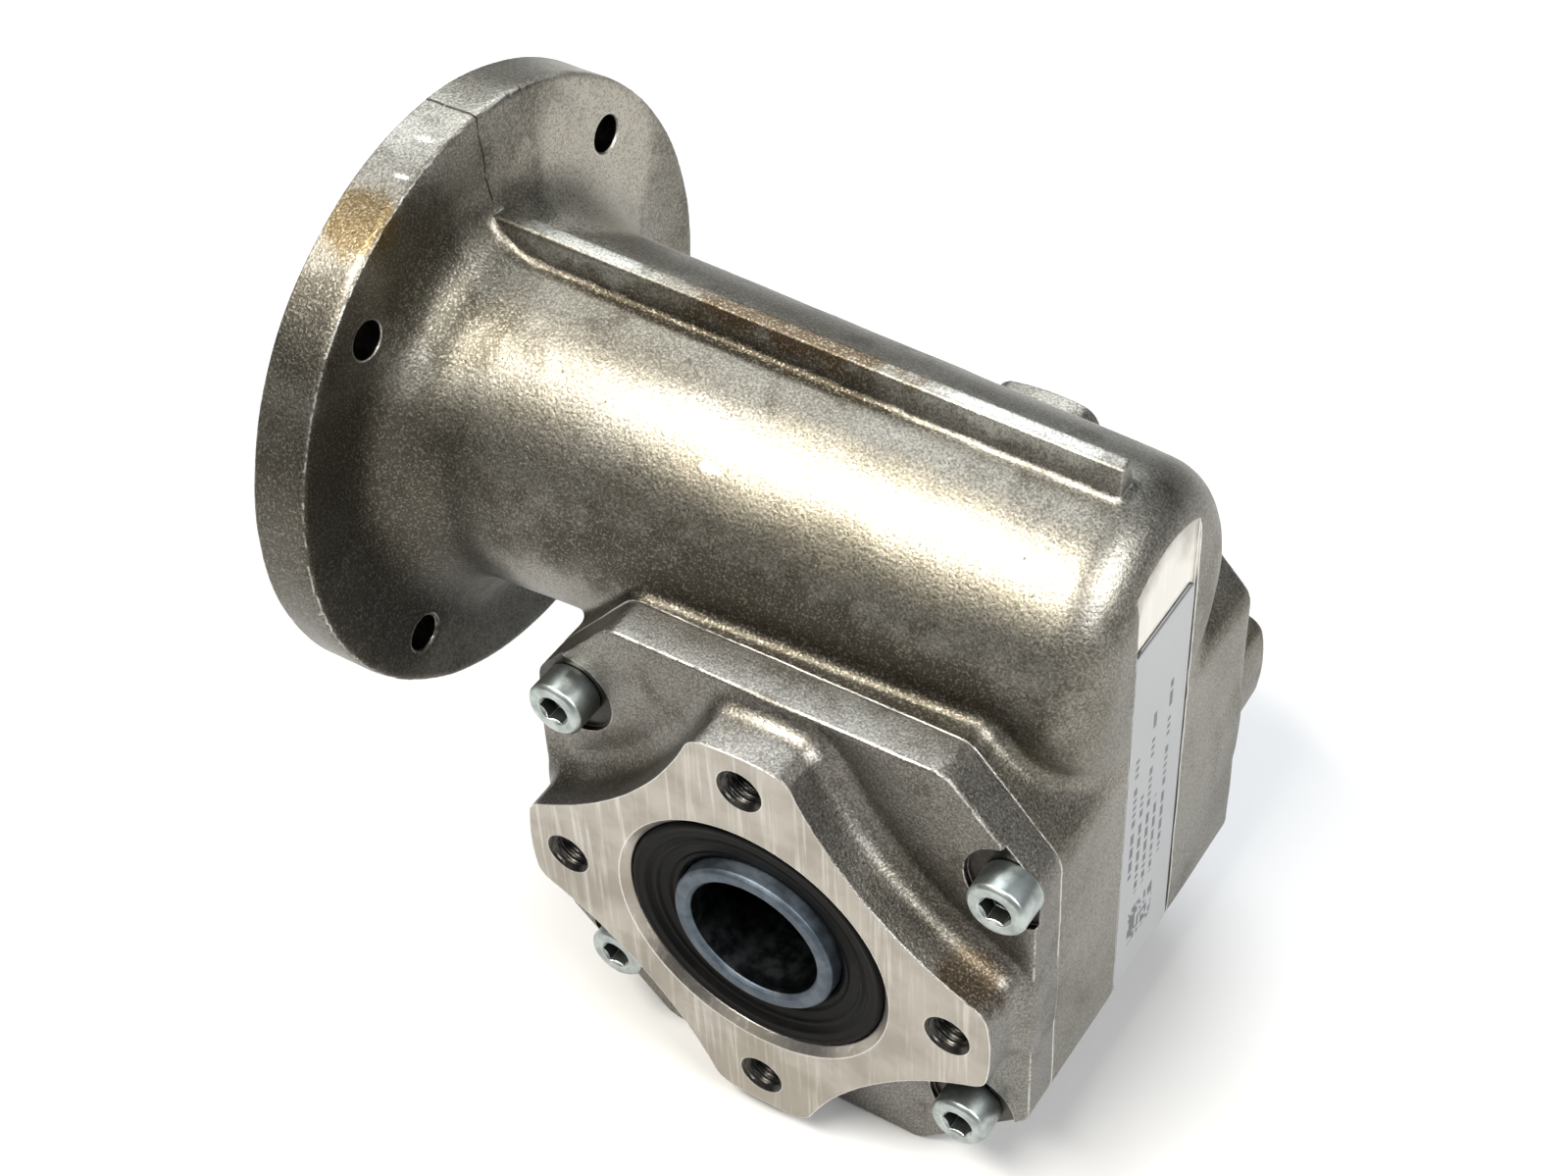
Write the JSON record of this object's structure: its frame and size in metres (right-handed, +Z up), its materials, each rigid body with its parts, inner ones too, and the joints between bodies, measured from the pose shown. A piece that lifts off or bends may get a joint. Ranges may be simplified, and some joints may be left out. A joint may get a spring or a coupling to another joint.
{
  "type": "right angle worm gearbox",
  "caption": "Right angle worm gearbox: round motor flange on a ribbed cast tube, square body below it, and a hollow output shaft between two star shaped bolting faces.",
  "frame": {"origin": "middle of the underside: on the ground plane, under the middle of the overall box", "axes": "+Z up, +X along the input axis from the motor flange to the closed end, -Y out of the cover side output face"},
  "size_m": [0.1108, 0.09, 0.1251],
  "materials": {
    "cast_aluminium": "die cast, fine sparkling grain",
    "cover_aluminium": "die cast, machined on the output face",
    "zinc_steel": "zinc plated",
    "shaft_steel": "turned, oiled",
    "bearing_steel": "ground and polished",
    "cast_iron": "machined cast iron",
    "bronze": "machined bronze",
    "rubber": "moulded nitrile rubber, oily",
    "spring_steel": "phosphated spring steel",
    "label_film": "satin printed film"
  },
  "bodies": {
    "case": {"housing": "cast_aluminium", "output_cover": "cover_aluminium", "cover_o_ring": "rubber", "cover_screw_1": "zinc_steel", "cover_screw_2": "zinc_steel", "cover_screw_3": "zinc_steel", "cover_screw_4": "zinc_steel", "front_output_bearing_outer_ring": "bearing_steel", "rear_output_bearing_outer_ring": "bearing_steel", "motor_side_worm_bearing_outer_ring": "bearing_steel", "end_worm_bearing_outer_ring": "bearing_steel", "front_output_seal": "rubber", "rear_output_seal": "rubber", "input_seal": "rubber", "bearing_circlip": "spring_steel", "end_bearing_shim": "spring_steel", "rating_label": "label_film"},
    "output": {"output_shaft": "shaft_steel", "wheel_key": "zinc_steel", "wheel_hub": "cast_iron", "worm_wheel_rim": "bronze", "front_output_bearing_inner_ring": "bearing_steel", "rear_output_bearing_inner_ring": "bearing_steel"},
    "worm": {"worm_shaft": "shaft_steel", "motor_side_worm_bearing_inner_ring": "bearing_steel", "end_worm_bearing_inner_ring": "bearing_steel"},
    "front_output_cage": {"front_output_bearing_ball_cage": "bearing_steel"},
    "rear_output_cage": {"rear_output_bearing_ball_cage": "bearing_steel"},
    "motor_side_cage": {"motor_side_worm_bearing_ball_cage": "bearing_steel"},
    "end_cage": {"end_worm_bearing_ball_cage": "bearing_steel"}
  },
  "joints": [
    {"name": "output_spin", "type": "hinge", "parent": "case", "child": "output", "pos_m": [0.0168, 0, 0.0396], "axis": [0, 1, 0], "continuous": true},
    {"name": "worm_spin", "type": "hinge", "parent": "case", "child": "worm", "pos_m": [0.0168, 0, 0.0801], "axis": [1, 0, 0], "continuous": true},
    {"name": "front_output_cage_spin", "type": "hinge", "parent": "case", "child": "front_output_cage", "pos_m": [0.0168, 0, 0.0396], "axis": [0, 1, 0], "continuous": true},
    {"name": "rear_output_cage_spin", "type": "hinge", "parent": "case", "child": "rear_output_cage", "pos_m": [0.0168, 0, 0.0396], "axis": [0, 1, 0], "continuous": true},
    {"name": "motor_side_cage_spin", "type": "hinge", "parent": "case", "child": "motor_side_cage", "pos_m": [0.0168, 0, 0.0801], "axis": [1, 0, 0], "continuous": true},
    {"name": "end_cage_spin", "type": "hinge", "parent": "case", "child": "end_cage", "pos_m": [0.0168, 0, 0.0801], "axis": [1, 0, 0], "continuous": true}
  ],
  "couplings": [
    {"joint": "worm_spin", "follows": "output_spin", "ratio": -14},
    {"joint": "front_output_cage_spin", "follows": "output_spin", "ratio": 0.41},
    {"joint": "rear_output_cage_spin", "follows": "output_spin", "ratio": 0.41},
    {"joint": "motor_side_cage_spin", "follows": "output_spin", "ratio": -5.56},
    {"joint": "end_cage_spin", "follows": "output_spin", "ratio": -5.38}
  ]
}
